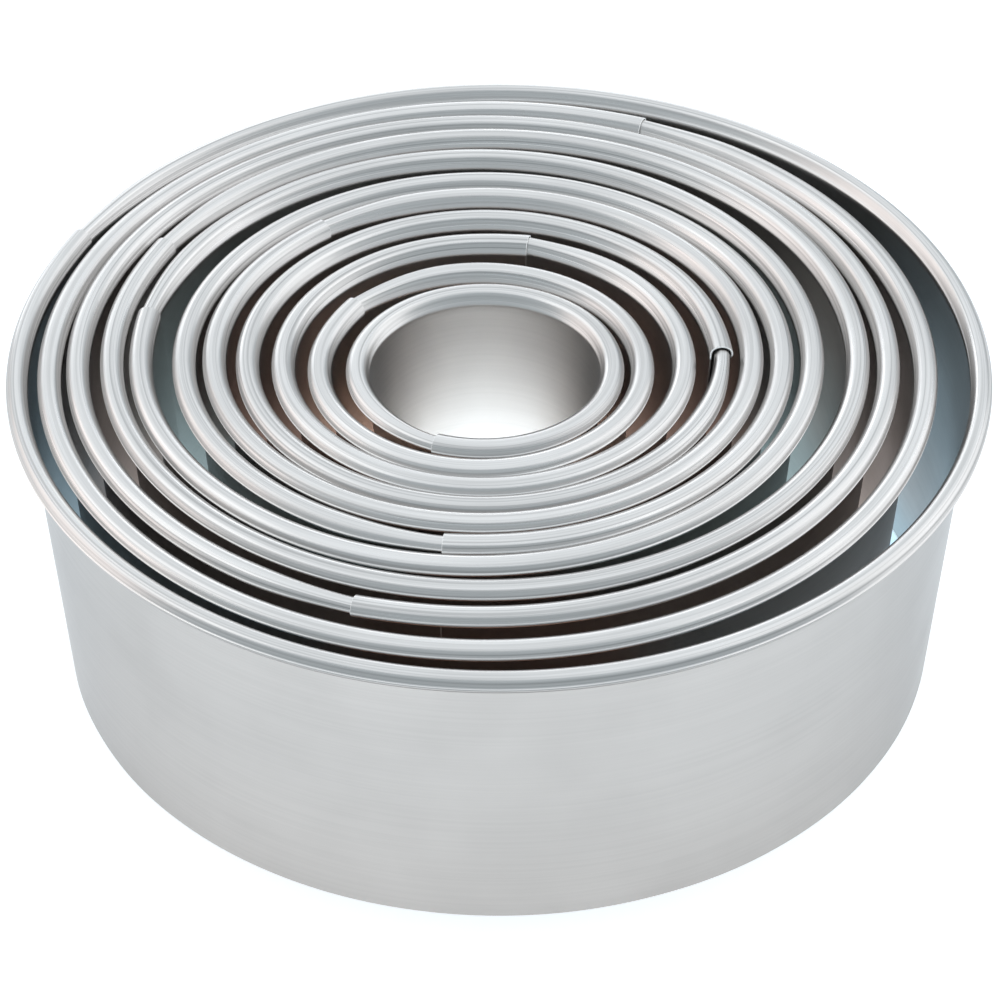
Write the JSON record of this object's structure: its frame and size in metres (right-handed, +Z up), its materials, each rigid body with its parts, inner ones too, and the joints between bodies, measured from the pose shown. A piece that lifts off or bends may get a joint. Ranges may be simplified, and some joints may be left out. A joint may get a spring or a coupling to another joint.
{
  "type": "nested biscuit cutter set",
  "caption": "Nest of round plain biscuit cutters in graded sizes: each a rolled sheet-steel hoop with a curled hollow bead rim and a lapped, tucked seam, free to lift out.",
  "frame": {"origin": "centre of the largest cutter's lower edge, on the surface that the nest stands on", "axes": "+Z up along the cutters' axes, the way each cutter lifts out; -Y towards the picture's viewer"},
  "size_m": [0.0964, 0.0964, 0.0337],
  "materials": {
    "stainless_sheet": "satin rolled stainless sheet, polished on the bead"
  },
  "bodies": {
    "cutter_01": {"cutter_01": "stainless_sheet"},
    "cutter_02": {"cutter_02": "stainless_sheet"},
    "cutter_03": {"cutter_03": "stainless_sheet"},
    "cutter_04": {"cutter_04": "stainless_sheet"},
    "cutter_05": {"cutter_05": "stainless_sheet"},
    "cutter_06": {"cutter_06": "stainless_sheet"},
    "cutter_07": {"cutter_07": "stainless_sheet"},
    "cutter_08": {"cutter_08": "stainless_sheet"},
    "cutter_09": {"cutter_09": "stainless_sheet"},
    "cutter_10": {"cutter_10": "stainless_sheet"},
    "cutter_11": {"cutter_11": "stainless_sheet"}
  },
  "joints": [
    {"name": "cutter_01_lift", "type": "slide", "parent": "cutter_02", "child": "cutter_01", "axis": [0, 0, 1], "range_m": [0, 0.045]},
    {"name": "cutter_02_lift", "type": "slide", "parent": "cutter_03", "child": "cutter_02", "axis": [0, 0, 1], "range_m": [0, 0.045]},
    {"name": "cutter_03_lift", "type": "slide", "parent": "cutter_04", "child": "cutter_03", "axis": [0, 0, 1], "range_m": [0, 0.045]},
    {"name": "cutter_04_lift", "type": "slide", "parent": "cutter_05", "child": "cutter_04", "axis": [0, 0, 1], "range_m": [0, 0.045]},
    {"name": "cutter_05_lift", "type": "slide", "parent": "cutter_06", "child": "cutter_05", "axis": [0, 0, 1], "range_m": [0, 0.045]},
    {"name": "cutter_06_lift", "type": "slide", "parent": "cutter_07", "child": "cutter_06", "axis": [0, 0, 1], "range_m": [0, 0.045]},
    {"name": "cutter_07_lift", "type": "slide", "parent": "cutter_08", "child": "cutter_07", "axis": [0, 0, 1], "range_m": [0, 0.045]},
    {"name": "cutter_08_lift", "type": "slide", "parent": "cutter_09", "child": "cutter_08", "axis": [0, 0, 1], "range_m": [0, 0.045]},
    {"name": "cutter_09_lift", "type": "slide", "parent": "cutter_10", "child": "cutter_09", "axis": [0, 0, 1], "range_m": [0, 0.045]},
    {"name": "cutter_10_lift", "type": "slide", "parent": "cutter_11", "child": "cutter_10", "axis": [0, 0, 1], "range_m": [0, 0.045]}
  ]
}
